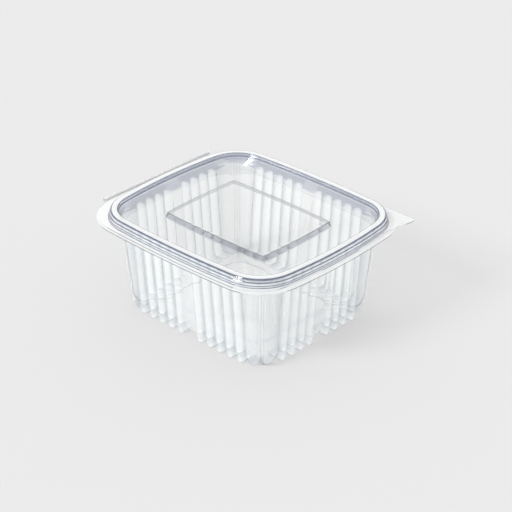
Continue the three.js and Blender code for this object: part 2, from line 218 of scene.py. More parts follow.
def whole_ring(quarters):
    """A ring, counterclockwise from +X, from the quarters (+,+), (-,+), (-,-) and (+,-)."""
    parts = []
    for index, (sign_x, sign_y) in enumerate(((1, 1), (-1, 1), (-1, -1), (1, -1))):
        quarter = quarters[index]
        if index % 2:
            quarter = quarter[::-1]
        parts.append(quarter[:-1] * np.array([sign_x, sign_y, 1]))
    return np.concatenate(parts)


def around(values):
    """A value per station, carried round all four quarters."""
    back = values[::-1]
    return np.concatenate([values[:-1], back[:-1], values[:-1], back[:-1]])


tray_stations = Stations(
    fluted_side(LONG_SIDE_FLUTES, LONG_SIDE_PITCH), 34,
    fluted_side(SHORT_SIDE_FLUTES, SHORT_SIDE_PITCH),
)
lid_stations = Stations(np.linspace(0, 44, 23), 30, np.linspace(0, 36, 19))
print("stations per ring:", len(around(tray_stations.along)), len(around(lid_stations.along)))

# %% [markdown]
# ## The section of the sheet
#
# A formed sheet is best drawn as a section: one line from the middle of the floor to the edge of
# the flange. Each point of it is a level, an outline with a height. On the fluted wall a level
# also says how far the land between flutes is sunk, how much of the foot's corner is cut away
# and how far a flute has closed to its rounded end. Small arcs round the bends, and then a
# second line at the sheet's thickness makes it solid.


# %% Levels and rounded bends
HALF_X = 0
HEIGHT, LAND_INSET, LAND_RISE, CORNER_CUT, CORNER_LIFT, FLUTE_END, FLUTE_CURVE = range(5, 12)
LARGEST_ARC_SHARE = 0.45


def level(outline, z, land=0.0, rise=0.0, cut=0.0, lift=0.0, end=0.0, curve=3.2):
    """Outline, height; land's inset and rise; corner's cut and lift; flute's end and curve."""
    return np.array([*outline, z, land, rise, cut, lift, end, curve])


def rounded(levels, radii, steps):
    """The same line with each bend replaced by a small arc of about the given radius."""
    result = [levels[0]]
    for before, here, after, radius in zip(levels, levels[1:], levels[2:], radii):
        back = before - here
        ahead = after - here
        reach_back = math.hypot(back[HALF_X], back[HEIGHT]) + 1e-6
        reach_ahead = math.hypot(ahead[HALF_X], ahead[HEIGHT]) + 1e-6
        first = here + back * min(radius / reach_back, LARGEST_ARC_SHARE)
        last = here + ahead * min(radius / reach_ahead, LARGEST_ARC_SHARE)
        for t in np.linspace(0, 1, steps + 1):
            result.append((1 - t) ** 2 * first + 2 * t * (1 - t) * here + t * t * last)
    result.append(levels[-1])
    return np.array(result)


def normals_of(across, up):
    """Normals of a line in the plane of the section, to the left of its direction."""
    run = np.gradient(across)
    climb = np.gradient(up)
    length = np.hypot(run, climb) + 1e-9
    return np.stack([-climb / length, run / length], axis=1)


# %% The cut corner of the foot, and one skin of the sheet
FOOT = (50.2, 57.5, 0.8, 0.8, 11.0)
FOOT_ARC_CENTRE = (12.4, 18.8)
FOOT_ARC_RADIUS = 44.2
FOOT_CUT = 5.0


def foot_cut(stations):
    """How far each station of the foot moves in to the shallow arc that cuts its corner."""
    outline = Outline(*FOOT)
    angles = stations.angles(outline)
    x, y = outline.at(angles)
    from_x = x - FOOT_ARC_CENTRE[0]
    from_y = y - FOOT_ARC_CENTRE[1]
    outwards = from_x * np.cos(angles) + from_y * np.sin(angles)
    excess = np.maximum(from_x ** 2 + from_y ** 2 - FOOT_ARC_RADIUS ** 2, 0)
    return outwards - np.sqrt(outwards ** 2 - excess)


def skin(path, stations, shift, front_flange):
    """The crest and the land position of every point on one skin of the sheet."""
    half_x = path[:, HALF_X]
    height = path[:, HEIGHT]
    crest_normal = normals_of(half_x, height)
    land_normal = normals_of(half_x - path[:, LAND_INSET], height + path[:, LAND_RISE])
    cut_in = half_x - FOOT_CUT * path[:, CORNER_CUT]
    corner_normal = normals_of(cut_in, height + path[:, CORNER_LIFT])
    crests = []
    lands = []
    turn = stations.turn
    cuts = foot_cut(stations)
    for i, row in enumerate(path):
        z, land, rise, cut, lift = row[HEIGHT:FLUTE_END]
        quarters = {}
        for key in ("back", "front"):
            on_front_edge = key == "front" and i == len(path) - 1
            outline = Outline(*(front_flange if on_front_edge else row[:HEIGHT]))
            angles = stations.angles(outline)
            x, y = outline.at(angles)
            c = np.cos(angles)
            s = np.sin(angles)
            mixed = crest_normal[i] + (corner_normal[i] - crest_normal[i]) * turn[:, None]
            out = shift * mixed[:, 0] - cut * cuts
            up = z + lift * turn + shift * mixed[:, 1]
            crest = np.stack([x + c * out, y + s * out, up], axis=1)
            out = shift * land_normal[i, 0] - np.maximum(land, cut * cuts)
            up = z + rise + lift * turn + shift * land_normal[i, 1]
            low = np.stack([x + c * out, y + s * out, up], axis=1)
            quarters[key] = (crest, low)
        for store, which in ((crests, 0), (lands, 1)):
            back = quarters["back"][which]
            front = quarters["front"][which]
            store.append(whole_ring([back, back, front, front]))
    return np.array(crests), np.array(lands)


def loft_faces(ring_count, ring_size):
    """Quads between neighbouring rings, and a flat cap on the first and on the last ring."""
    faces = []
    for i in range(ring_count - 1):
        a = i * ring_size
        b = a + ring_size
        for j in range(ring_size):
            k = (j + 1) % ring_size
            faces.append((a + j, a + k, b + k, b + j))
    last = (ring_count - 1) * ring_size
    faces.append(tuple(reversed(range(ring_size))))
    faces.append(tuple(range(last, last + ring_size)))
    return faces


def to_metres(points):
    moved = np.array(points, float).reshape(-1, 3)
    moved[:, 1] += ROW_SHIFT_Y
    return moved * MM


def new_piece(name, points, faces, material):
    mesh = bpy.data.meshes.new(name)
    mesh.from_pydata([tuple(p) for p in to_metres(points)], [], faces)
    mesh.update()
    mesh.validate()
    mesh.materials.append(material)
    piece = bpy.data.objects.new(name, mesh)
    bpy.context.scene.collection.objects.link(piece)
    return piece


def finish_smooth(piece, degrees):
    """Smooth faces everywhere, with an edge kept sharp where it bends by more than an angle."""
    piece.data.polygons.foreach_set("use_smooth", [True] * len(piece.data.polygons))
    piece.data.set_sharp_from_angle(angle=math.radians(degrees))
    print(piece.name, "faces:", len(piece.data.polygons))


# %% [markdown]
# ## The clear plastic
#
# Clear polyester sheet looks like thin glass: it is seen by its reflections and by the dark and
# bright lines where it bends. A real sheet drawn over a mould is never quite flat, so a shared
# node group gives a faint ripple that makes the reflections run.


# %% An empty shared group with named sockets
def shared_group(name, takes, gives):
    """A shader group, its input node and its output node, from two tables of sockets."""
    group = bpy.data.node_groups.new(name, "ShaderNodeTree")
    for in_out, sockets in (("INPUT", takes), ("OUTPUT", gives)):
        for socket, kind in sockets.items():
            group.interface.new_socket(socket, in_out=in_out, socket_type="NodeSocket" + kind)
    return group, group.nodes.new("NodeGroupInput"), group.nodes.new("NodeGroupOutput")


# %% The ripple of a drawn sheet, as one shared group
RIPPLE_HEIGHT = 0.6
RIPPLE_SCALE = 40.0


def ripple_group():
    group, inputs, outputs = shared_group(
        "sheet_ripple", {"Scale": "Float", "Strength": "Float"}, {"Normal": "Vector"},
    )
    nodes = group.nodes
    links = group.links
    place = nodes.new("ShaderNodeTexCoord")
    noise = nodes.new("ShaderNodeTexNoise")
    noise.inputs["Detail"].default_value = 2.0
    noise.inputs["Roughness"].default_value = 0.45
    bump = nodes.new("ShaderNodeBump")
    bump.inputs["Distance"].default_value = RIPPLE_HEIGHT * MM
    links.new(place.outputs["Object"], noise.inputs["Vector"])
    links.new(inputs.outputs["Scale"], noise.inputs["Scale"])
    links.new(inputs.outputs["Strength"], bump.inputs["Strength"])
    links.new(noise.outputs["Fac"], bump.inputs["Height"])
    links.new(bump.outputs["Normal"], outputs.inputs["Normal"])
    return group


ripple = ripple_group()
print("group:", ripple.name)

# %% [markdown]
# ## Painted shade in the bends
#
# On the real box a bend looks dark or bright because it gathers light from far to the side, out
# of a room full of lamps and cards. Such a room can only be guessed, so part of each line is
# painted here as colour in the sheet: painted shade. One group paints shade by the sheet's slope,
# and a second one paints shade in the gaps and a glow on the crests by two masks, which the node
# tree of the flutes stores on the mesh.


# %% One colour mixed into another
MIX_SHARE = 0
MIX_COLOURS = (6, 7)
MIX_COLOUR_OUT = 2


def mixed(group, kind, share, first, second):
    """The two colours blended by a share from 0 to 1, with the node's sockets by number."""
    node = group.nodes.new("ShaderNodeMix")
    node.data_type = "RGBA"
    node.blend_type = kind
    group.links.new(share, node.inputs[MIX_SHARE])
    for colour, number in zip((first, second), MIX_COLOURS):
        group.links.new(colour, node.inputs[number])
    return node.outputs[MIX_COLOUR_OUT]


# %% Painted shade: bends look darker than flat sheet, as one shared group
WALL_STEP = (0.3, 0.5)
FLAT_STEP = (0.99, 0.9)


def slope_painted_shade_group():
    """Painted shade by slope: flat sheet, an upright wall, and the bend or slope between the two.
    """
    colours = ("Flat colour", "Wall painted shade", "Low bend painted shade", "High bend painted shade")
    takes = {**dict.fromkeys(colours, "Color"), "Change height": "Float"}
    group, inputs, outputs = shared_group("slope_painted_shade", takes, {"Colour": "Color"})
    nodes = group.nodes
    links = group.links
    place = nodes.new("ShaderNodeTexCoord")
    height = nodes.new("ShaderNodeSeparateXYZ")
    slope = nodes.new("ShaderNodeSeparateXYZ")
    links.new(place.outputs["Object"], height.inputs["Vector"])
    links.new(place.outputs["Normal"], slope.inputs["Vector"])
    flatness = nodes.new("ShaderNodeMath")
    flatness.operation = "ABSOLUTE"
    links.new(slope.outputs["Z"], flatness.inputs[0])
    above = nodes.new("ShaderNodeMath")
    above.operation = "GREATER_THAN"
    links.new(height.outputs["Z"], above.inputs[0])
    links.new(inputs.outputs["Change height"], above.inputs[1])

    def smooth_step(first, last):
        node = nodes.new("ShaderNodeMapRange")
        node.interpolation_type = "SMOOTHSTEP"
        node.inputs["From Min"].default_value = first
        node.inputs["From Max"].default_value = last
        links.new(flatness.outputs["Value"], node.inputs["Value"])
        return node.outputs["Result"]

    flat, wall_colour, low_bend, high_bend = (inputs.outputs[name] for name in colours)
    # Painted shade: walls and bends take darker colours than the flat sheet.
    bend = mixed(group, "MIX", above.outputs["Value"], low_bend, high_bend)
    wall_or_bend = mixed(group, "MIX", smooth_step(*WALL_STEP), wall_colour, bend)
    colour = mixed(group, "MIX", smooth_step(*FLAT_STEP), flat, wall_or_bend)
    links.new(colour, outputs.inputs["Colour"])
    return group


slope_painted_shade = slope_painted_shade_group()
print("group:", slope_painted_shade.name)


# %% Painted glow on the flutes and painted shade in the gaps between them, as one shared group
def flute_shade_and_glow_group():
    """Two stored masks, gap and crest: painted shade in the gaps, clear crests, and a painted glow
    that is stronger on the crests.
    """
    names = ("Colour", "Gap painted shade", "Crest colour", "Painted glow", "Crest painted glow")
    group, inputs, outputs = shared_group(
        "flute_shade_and_glow", dict.fromkeys(names, "Color"), {"Colour": "Color", "Painted glow": "Color"},
    )
    links = group.links

    def stored(name):
        node = group.nodes.new("ShaderNodeAttribute")
        node.attribute_name = name
        return node.outputs["Fac"]

    colour, gap_colour, crest_colour, glow, crest_glow = (inputs.outputs[name] for name in names)
    # Painted shade in the gaps, and a painted glow that is stronger on the crests.
    on_crest = stored("crest_glow_mask")
    tinted = mixed(group, "MULTIPLY", stored("gap_shade_mask"), colour, gap_colour)
    on_colour = mixed(group, "MIX", on_crest, tinted, crest_colour)
    on_glow = mixed(group, "MIX", on_crest, glow, crest_glow)
    links.new(on_colour, outputs.inputs["Colour"])
    links.new(on_glow, outputs.inputs["Painted glow"])
    return group


flute_shade_and_glow = flute_shade_and_glow_group()
print("group:", flute_shade_and_glow.name)

# %% [markdown]
# ## The plastics
#
# Every plastic of the box is made by one function. Light has to reach through the sheet to the
# inside and into the shadow, so the sheet lets light from the lamps and light that bounces off
# the floor pass straight on. Haze turns part of the clear plastic milky, as at the cut edge, where
# the eye looks along the sheet. The tray adds painted shade by slope and by flute, and a faint
# painted glow on the whole sheet, stronger on the crests, stands in for the light that they would
# gather in a brighter studio.


# %% One clear plastic
PLASTIC_IOR = 1.57
LIGHT_PASSED = 0.955


def clear_plastic(name, colour, haze, roughness, ripple_strength):
    """Plastic that bends light, and that lets lamplight and bounced light pass straight on."""
    material = bpy.data.materials.new(name)
    material.use_nodes = True
    nodes = material.node_tree.nodes
    links = material.node_tree.links
    nodes.clear()
    output = nodes.new("ShaderNodeOutputMaterial")
    plastic = nodes.new("ShaderNodeBsdfPrincipled")
    plastic.inputs["Base Color"].default_value = (*colour, 1)
    plastic.inputs["Roughness"].default_value = roughness
    plastic.inputs["IOR"].default_value = PLASTIC_IOR
    plastic.inputs["Transmission Weight"].default_value = 1 - haze
    waves = nodes.new("ShaderNodeGroup")
    waves.node_tree = ripple
    waves.inputs["Scale"].default_value = RIPPLE_SCALE
    waves.inputs["Strength"].default_value = ripple_strength
    links.new(waves.outputs["Normal"], plastic.inputs["Normal"])
    through = nodes.new("ShaderNodeBsdfTransparent")
    through.inputs["Color"].default_value = (LIGHT_PASSED, LIGHT_PASSED, LIGHT_PASSED, 1)
    ray = nodes.new("ShaderNodeLightPath")
    lit = nodes.new("ShaderNodeMath")
    lit.operation = "MAXIMUM"
    mix = nodes.new("ShaderNodeMixShader")
    links.new(ray.outputs["Is Shadow Ray"], lit.inputs[0])
    links.new(ray.outputs["Is Diffuse Ray"], lit.inputs[1])
    links.new(lit.outputs["Value"], mix.inputs[0])
    links.new(plastic.outputs["BSDF"], mix.inputs[1])
    links.new(through.outputs["BSDF"], mix.inputs[2])
    links.new(mix.outputs["Shader"], output.inputs["Surface"])
    return material


# %% Plastic with painted shade by its slope, and painted shade and glow by its flutes
COLOUR_CHANGE_Z = 57.4
# Painted glow: the tray's sheet glows faintly, and its crests more, though no lamp is there.
SHEET_PAINTED_GLOW = (0.25, 0.30, 0.30)
CREST_PAINTED_GLOW = (0.90, 1.0, 1.0)
PAINTED_GLOW_STRENGTH = 0.06


def paint_shade_by_slope(material, wall_colour, low_bend, high_bend):
    """Flat sheet keeps the plastic's own colour, and walls and bends take painted shade."""
    nodes = material.node_tree.nodes
    plastic = nodes["Principled BSDF"]
    colour = nodes.new("ShaderNodeGroup")
    colour.node_tree = slope_painted_shade
    colour.inputs["Flat colour"].default_value = plastic.inputs["Base Color"].default_value
    colour.inputs["Wall painted shade"].default_value = (*wall_colour, 1)
    colour.inputs["Low bend painted shade"].default_value = (*low_bend, 1)
    colour.inputs["High bend painted shade"].default_value = (*high_bend, 1)
    colour.inputs["Change height"].default_value = COLOUR_CHANGE_Z * MM
    material.node_tree.links.new(colour.outputs["Colour"], plastic.inputs["Base Color"])
    return colour


def paint_shade_and_glow_by_flute(material, slope_colour, gap, crest):
    """Clear crests with a stronger painted glow, and painted shade in the gaps between them."""
    nodes = material.node_tree.nodes
    links = material.node_tree.links
    plastic = nodes["Principled BSDF"]
    tint = nodes.new("ShaderNodeGroup")
    tint.node_tree = flute_shade_and_glow
    tint.inputs["Gap painted shade"].default_value = (*gap, 1)
    tint.inputs["Crest colour"].default_value = (*crest, 1)
    tint.inputs["Painted glow"].default_value = (*SHEET_PAINTED_GLOW, 1)
    tint.inputs["Crest painted glow"].default_value = (*CREST_PAINTED_GLOW, 1)
    links.new(slope_colour.outputs["Colour"], tint.inputs["Colour"])
    links.new(tint.outputs["Colour"], plastic.inputs["Base Color"])
    links.new(tint.outputs["Painted glow"], plastic.inputs["Emission Color"])
    plastic.inputs["Emission Strength"].default_value = PAINTED_GLOW_STRENGTH


# %% The plastics of this box
CLEAR = (0.995, 1.0, 1.0)
# Painted shade: every colour below but CLEAR stands for the dark lines that a bend, a wall, a
# step, a gap or a cut edge shows by the light round it.
WALL_PAINTED_SHADE = (0.96, 0.975, 0.99)
FOOT_PAINTED_SHADE = (0.92, 0.945, 0.98)
SHOULDER_PAINTED_SHADE = (0.72, 0.73, 0.79)
PLUG_PAINTED_SHADE = (0.94, 0.945, 0.965)
BEND_PAINTED_SHADE = (0.34, 0.36, 0.46)
CUT_EDGE_PAINTED_SHADE = (0.06, 0.06, 0.09)
STEP_PAINTED_SHADE = (0.68, 0.69, 0.73)
GAP_PAINTED_SHADE = (0.82, 0.84, 0.86)
tray_plastic = clear_plastic("clear_tray_sheet", CLEAR, 0.10, 0.03, 0.12)
# Painted shade on the tray's low bends and feet, and darker on the shoulder and bead bends.
tray_slopes = paint_shade_by_slope(tray_plastic, CLEAR, FOOT_PAINTED_SHADE, SHOULDER_PAINTED_SHADE)
# Painted shade greys the gaps between flutes; the crests stay clear and get a painted glow.
paint_shade_and_glow_by_flute(tray_plastic, tray_slopes, GAP_PAINTED_SHADE, CLEAR)
lid_plastic = clear_plastic("clear_lid_sheet", CLEAR, 0.0, 0.02, 0.12)
# Painted shade: pale on the lid's upright walls and dark in all its bends.
paint_shade_by_slope(lid_plastic, WALL_PAINTED_SHADE, BEND_PAINTED_SHADE, BEND_PAINTED_SHADE)
film_plastic = clear_plastic("clear_hinge_film", CLEAR, 0.8, 0.2, 0.12)
# Painted shade: a grey line on the step round the lid's panel.
step_plastic = clear_plastic("panel_step_painted_shade", STEP_PAINTED_SHADE, 0.0, 0.03, 0.12)
# Painted shade: a faint grey on the plug's slope up to the bead.
plug_plastic = clear_plastic("plug_slope_painted_shade", PLUG_PAINTED_SHADE, 0.0, 0.02, 0.12)
rim_plastic = clear_plastic("clear_rim_sheet", CLEAR, 0.42, 0.03, 0.06)
# Painted shade: the cut edge is painted nearly black.
cut_edge = clear_plastic("cut_edge_painted_shade", CUT_EDGE_PAINTED_SHADE, 0.85, 0.3, 0.02)
print("plastics:", [material.name for material in bpy.data.materials])

# %% [markdown]
# ## The flutes, repeated by Geometry Nodes
#
# On the mould the flutes are one cutter run again and again at the same pitch. The node tree
# does the same: every point knows its place on a crest and on the land between crests, how far
# it lies along its side, and how far its ring is into a flute's rounded end. The tree folds the
# distance into one pitch and moves the point out by a rounded profile. The middle flute of each
# side is left out, as on the real box. The tree also stores two masks for the plastic: one for
# the painted shade in the gaps between flutes, the other for the painted glow on their crests.


# %% The node tree that presses the flutes
MIDDLE_PANEL_END = 5.5
CREST_NARROWNESS = 3.0
MIX_VECTORS = (4, 5)
MIX_VECTOR_OUT = 1


def flute_tree(material):
    tree = bpy.data.node_groups.new("pressed_flutes", "GeometryNodeTree")
    face = tree.interface
    face.new_socket("Geometry", in_out="INPUT", socket_type="NodeSocketGeometry")
    face.new_socket("Half width", in_out="INPUT", socket_type="NodeSocketFloat")
    face.new_socket("Geometry", in_out="OUTPUT", socket_type="NodeSocketGeometry")
    nodes = tree.nodes
    links = tree.links
    inputs = nodes.new("NodeGroupInput")
    outputs = nodes.new("NodeGroupOutput")

    def stored(name, kind):
        node = nodes.new("GeometryNodeInputNamedAttribute")
        node.data_type = kind
        node.inputs["Name"].default_value = name
        return node.outputs["Attribute"]

    def math_node(operation, *values):
        node = nodes.new("ShaderNodeMath")
        node.operation = operation
        for socket, value in zip(node.inputs, values):
            if isinstance(value, (int, float)):
                socket.default_value = value
            else:
                links.new(value, socket)
        return node.outputs[0]

    along = stored("along", "FLOAT")
    count = stored("flutes", "FLOAT")
    pitch = stored("pitch", "FLOAT")
    end = stored("end", "FLOAT")
    profile = stored("curve", "FLOAT")
    number = math_node("ROUND", math_node("DIVIDE", along, pitch))
    number = math_node("MINIMUM", math_node("MAXIMUM", number, 1.0), count)
    centre = math_node("MULTIPLY", number, pitch)
    from_centre = math_node("ABSOLUTE", math_node("SUBTRACT", along, centre))
    across = math_node("DIVIDE", from_centre, inputs.outputs["Half width"])
    across_and_end = math_node(
        "ADD", math_node("MULTIPLY", across, across), math_node("MULTIPLY", end, end),
    )
    curve = math_node("POWER", across_and_end, math_node("MULTIPLY", profile, 0.5))
    crest_share = math_node("MAXIMUM", math_node("SUBTRACT", 1.0, curve), 0.0)
    on_a_side = math_node("GREATER_THAN", count, 0.5)
    crest_share = math_node("MULTIPLY", crest_share, on_a_side)
    corner_share = math_node("SUBTRACT", 1.0, math_node("POWER", end, profile))
    corner_share = math_node("MULTIPLY", stored("corner_crest", "FLOAT"), corner_share)
    crest_share = math_node("MAXIMUM", crest_share, corner_share)
    blend = nodes.new("ShaderNodeMix")
    blend.data_type = "VECTOR"
    links.new(crest_share, blend.inputs[MIX_SHARE])
    for name, place in zip(("land", "crest"), MIX_VECTORS):
        links.new(stored(name, "FLOAT_VECTOR"), blend.inputs[place])
    move = nodes.new("GeometryNodeSetPosition")
    links.new(inputs.outputs["Geometry"], move.inputs["Geometry"])
    links.new(blend.outputs[MIX_VECTOR_OUT], move.inputs["Position"])
    # Masks for the painted shade in the gaps and the painted glow on the crests.
    fluted = stored("fluted", "FLOAT")
    on_a_flute = math_node("MULTIPLY", crest_share, on_a_side)
    past_panel = math_node("GREATER_THAN", along, MIDDLE_PANEL_END * MM)
    gap = math_node("MULTIPLY", math_node("SUBTRACT", on_a_side, on_a_flute), past_panel)
    gap = math_node("MULTIPLY", gap, fluted)
    crest = math_node("MULTIPLY", math_node("POWER", on_a_flute, CREST_NARROWNESS), fluted)
    shaped = move.outputs["Geometry"]
    for name, values in (("gap_shade_mask", gap), ("crest_glow_mask", crest)):
        keep = nodes.new("GeometryNodeStoreNamedAttribute")
        keep.data_type = "FLOAT"
        keep.domain = "POINT"
        keep.inputs["Name"].default_value = name
        links.new(shaped, keep.inputs["Geometry"])
        links.new(values, keep.inputs["Value"])
        shaped = keep.outputs["Geometry"]
    realize = nodes.new("GeometryNodeRealizeInstances")
    paint = nodes.new("GeometryNodeSetMaterial")
    paint.inputs["Material"].default_value = material
    links.new(shaped, realize.inputs["Geometry"])
    links.new(realize.outputs["Geometry"], paint.inputs["Geometry"])
    links.new(paint.outputs["Geometry"], outputs.inputs["Geometry"])
    return tree


def store_attribute(mesh, name, kind, values, field):
    attribute = mesh.attributes.new(name, kind, "POINT")
    attribute.data.foreach_set(field, np.asarray(values, np.float32).ravel())


def set_tree_input(modifier, tree, name, value):
    for item in tree.interface.items_tree:
        if item.item_type == "SOCKET" and item.in_out == "INPUT" and item.name == name:
            modifier[item.identifier] = value


def press_flutes(piece, crest, land, numbers, material):
    """Stores what the tree reads, runs it, and removes what was stored for it."""
    mesh = piece.data
    store_attribute(mesh, "crest", "FLOAT_VECTOR", to_metres(crest), "vector")
    store_attribute(mesh, "land", "FLOAT_VECTOR", to_metres(land), "vector")
    for name, values in numbers.items():
        store_attribute(mesh, name, "FLOAT", values, "value")
    tree = flute_tree(material)
    modifier = piece.modifiers.new("flutes", "NODES")
    modifier.node_group = tree
    set_tree_input(modifier, tree, "Half width", FLUTE_HALF_WIDTH * MM)
    plain_mesh(piece)
    for name in ("crest", "land", *numbers):
        piece.data.attributes.remove(piece.data.attributes[name])


def plain_mesh(piece):
    """The evaluated piece becomes an ordinary mesh, and its modifiers go."""
    bpy.context.view_layer.update()
    shape = piece.evaluated_get(bpy.context.evaluated_depsgraph_get())
    mesh = bpy.data.meshes.new_from_object(shape)
    mesh.name = piece.name
    piece.modifiers.clear()
    piece.data = mesh


# %% [markdown]
# ## The rolled fold
#
# The tray and the lid are formed flat, side by side, and joined by a strip that is rolled
# outwards along the back. Each half of the roll belongs to one of them, and a thin film between
# the halves is the fold itself. A half is an arc of sheet run along the back edge, joined to its
# flange with a boolean so that no inner wall is left in the clear plastic.

# %% Half a roll, joined to a flange
ROLL_Y = 78.7
ROLL_Z = 60.2
ROLL_RADIUS = 1.5
ROLL_LEFT = -42.5
ROLL_RIGHT = 46.5
FOLD_GAP_ANGLE = 16.5
TRAY_ROLL_END = -118.0
LID_ROLL_END = 184.0


def arc_strip(name, first, last, outer, inner, steps, material):
    """A strip of sheet bent round the roll's axis, between two angles in degrees."""
    angles = np.radians(np.linspace(first, last, steps + 1))
    points = []
    for x in (ROLL_LEFT, ROLL_RIGHT):
        for radius in (outer, inner):
            for angle in angles:
                y = ROLL_Y + radius * math.cos(angle)
                points.append((x, y, ROLL_Z + radius * math.sin(angle)))
    count = steps + 1
    faces = []
    for k in range(steps):
        faces.append((k, k + 1, 2 * count + k + 1, 2 * count + k))
        faces.append((count + k + 1, count + k, 3 * count + k, 3 * count + k + 1))
        faces.append((k + 1, k, count + k, count + k + 1))
        faces.append((2 * count + k, 2 * count + k + 1, 3 * count + k + 1, 3 * count + k))
    faces.append((0, 2 * count, 3 * count, count))
    end = count - 1
    faces.append((end, count + end, 3 * count + end, 2 * count + end))
    if last < first:
        faces = [tuple(reversed(face)) for face in faces]
    return new_piece(name, points, faces, material)


def join_into(piece, other):
    """The other piece becomes part of this one, without a wall between them."""
    modifier = piece.modifiers.new("join", "BOOLEAN")
    modifier.operation = "UNION"
    modifier.solver = "MANIFOLD"
    modifier.object = other
    plain_mesh(piece)
    bpy.data.objects.remove(other)


# %% [markdown]
# ## The tray
#
# From the middle outwards: a floor with a raised panel, feet that are the ends of the flutes,
# a heel, the fluted wall, a narrow shoulder above the flutes' round caps, a bead that stiffens
# the rim, and the flange.

# %% The tray's section
WALL_BOTTOM = (51.0, 58.3, 0.8, 0.8, 11.0)
WALL_TOP = (54.5, 61.7, 1.6, 1.6, 11.0)
BEND_Z = 18.0
NECK_Z = 58.6
HEEL = (50.8, 58.1, 0.8, 0.8, 12.0)
PANEL = (33.0, 40.0, 0.8, 0.8, 9.0)
TRAY_FLANGE_Z = 59.0
TRAY_FLANGE_BACK = (67.4, 78.4, 3.5, 0.4, 29.5)
TRAY_FLANGE_FRONT = (67.4, 75.7, 3.5, 5.9, 29.0)


def between(first, last, t):
    return [a + (b - a) * t for a, b in zip(first, last)]


def wall(z):
    return between(WALL_BOTTOM, WALL_TOP, (z - BEND_Z) / (NECK_Z - BEND_Z))


SHOULDER_TOP_Z = 61.95


def shoulder(z):
    """The slope from the top of the wall out to the bead."""
    return between(WALL_TOP, offset(BEAD, -5.05), (z - NECK_Z) / (SHOULDER_TOP_Z - NECK_Z))


LAND = FLUTE_DEPTH
tray_levels = [
    level(offset(PANEL, -3.0), 3.8),
    level(offset(PANEL, -1.2), 3.8),
    level(PANEL, 2.6),
    level(offset(FOOT, -11.0), 0.9, 0.0, 1.7, end=1.0, curve=2.0),
    level(offset(FOOT, -10.3), 0.8, 0.0, 1.8, end=0.8, curve=2.0),
    level(offset(FOOT, -9.2), 0.7, 0.0, 1.9, end=0.4, curve=2.0),
    level(offset(FOOT, -8.0), 0.6, 0.0, 2.0, curve=2.0),
    level(offset(FOOT, -1.8), 0.0, 3.0, 2.4, 1.0, curve=2.0),
    level(FOOT, 0.0, 3.2, 2.4, 1.0, curve=2.0),
    level(HEEL, 5.0, 2.0, 0.6, 0.0, 3.0, curve=2.2),
    level(wall(9.0), 9.0, LAND, 0.0, 0.0, 2.0),
    level(wall(30.0), 30.0, LAND + 0.3),
    level(wall(52.0), 52.0, LAND + 0.3),
    level(wall(57.6), 57.6, LAND),
    level(WALL_TOP, NECK_Z, LAND - 0.2, end=0.15),
    level(shoulder(59.3), 59.3, LAND - 0.2, end=0.5),
    level(shoulder(60.0), 60.0, LAND - 0.2, end=0.82),
    level(shoulder(60.5), 60.5, LAND - 0.2, end=1.0),
    level(shoulder(61.4), 61.4, LAND - 0.6, end=1.0),
    level(shoulder(SHOULDER_TOP_Z), SHOULDER_TOP_Z, end=1.0),
    level(offset(BEAD, -4.25), 62.15),
    level(offset(BEAD, -2.95), 64.5),
    level(offset(BEAD, -1.5), 64.5),
    level(offset(BEAD, -0.95), 62.0),
    level(offset(BEAD, -0.25), TRAY_FLANGE_Z),
    level(TRAY_FLANGE_BACK, TRAY_FLANGE_Z),
]
tray_radii = [0.6, 0.8, 0.4, 0.4, 0.4, 1.2, 1.2, 0.9, 2.5, 3.0, 2.0, 0.4, 0.4, 0.3, 0.2, 0.3, 0.3,
              0.3, 0.4, 0.5, 0.5, 0.5, 0.5, 0.5]
tray_path = rounded(tray_levels, tray_radii, 2)
print("levels in the tray's section:", len(tray_path))

# %% The tray's skins, flutes and half of the roll
CORNER_GROOVES = (0.38, 0.5, 0.62)
LEAST_INSET = 0.05
under_crest, under_land = skin(tray_path, tray_stations, 0.0, TRAY_FLANGE_FRONT)
over_crest, over_land = skin(tray_path, tray_stations, SHEET, TRAY_FLANGE_FRONT)
crest = np.concatenate([under_crest, over_crest[::-1]])
land = np.concatenate([under_land, over_land[::-1]])
ring_count, ring_size = crest.shape[:2]
tray_faces = loft_faces(ring_count, ring_size)
tray_shell = new_piece("tray_shell", land, tray_faces, tray_plastic)
corner_crest = tray_stations.corner_crest(CORNER_GROOVES, width=0.022, depth=0.6)
both_ways = np.concatenate([tray_path, tray_path[::-1]])
flute_numbers = {
    "along": np.tile(around(tray_stations.along), ring_count) * MM,
    "pitch": np.tile(around(tray_stations.pitch), ring_count) * MM,
    "flutes": np.tile(around(tray_stations.flutes), ring_count),
    "corner_crest": np.tile(around(corner_crest), ring_count),
    "end": np.repeat(both_ways[:, FLUTE_END], ring_size),
    "curve": np.repeat(both_ways[:, FLUTE_CURVE], ring_size),
    "fluted": np.repeat(both_ways[:, LAND_INSET] > LEAST_INSET, ring_size),
}
press_flutes(tray_shell, crest, land, flute_numbers, tray_plastic)
tray_roll = arc_strip(
    "tray_roll", -FOLD_GAP_ANGLE, TRAY_ROLL_END, ROLL_RADIUS, ROLL_RADIUS - SHEET, 14,
    tray_plastic,
)
join_into(tray_shell, tray_roll)
finish_smooth(tray_shell, 40)

# %% [markdown]
# ## The lid
#
# The lid sits over the bead of the tray: a flat field with a raised panel, a plug wall that
# slopes up to the bead's top, a chamfer, a skirt with two small steps, and a flange. At one
# front corner the flange runs out into a pointed tab to pull the lid open by.

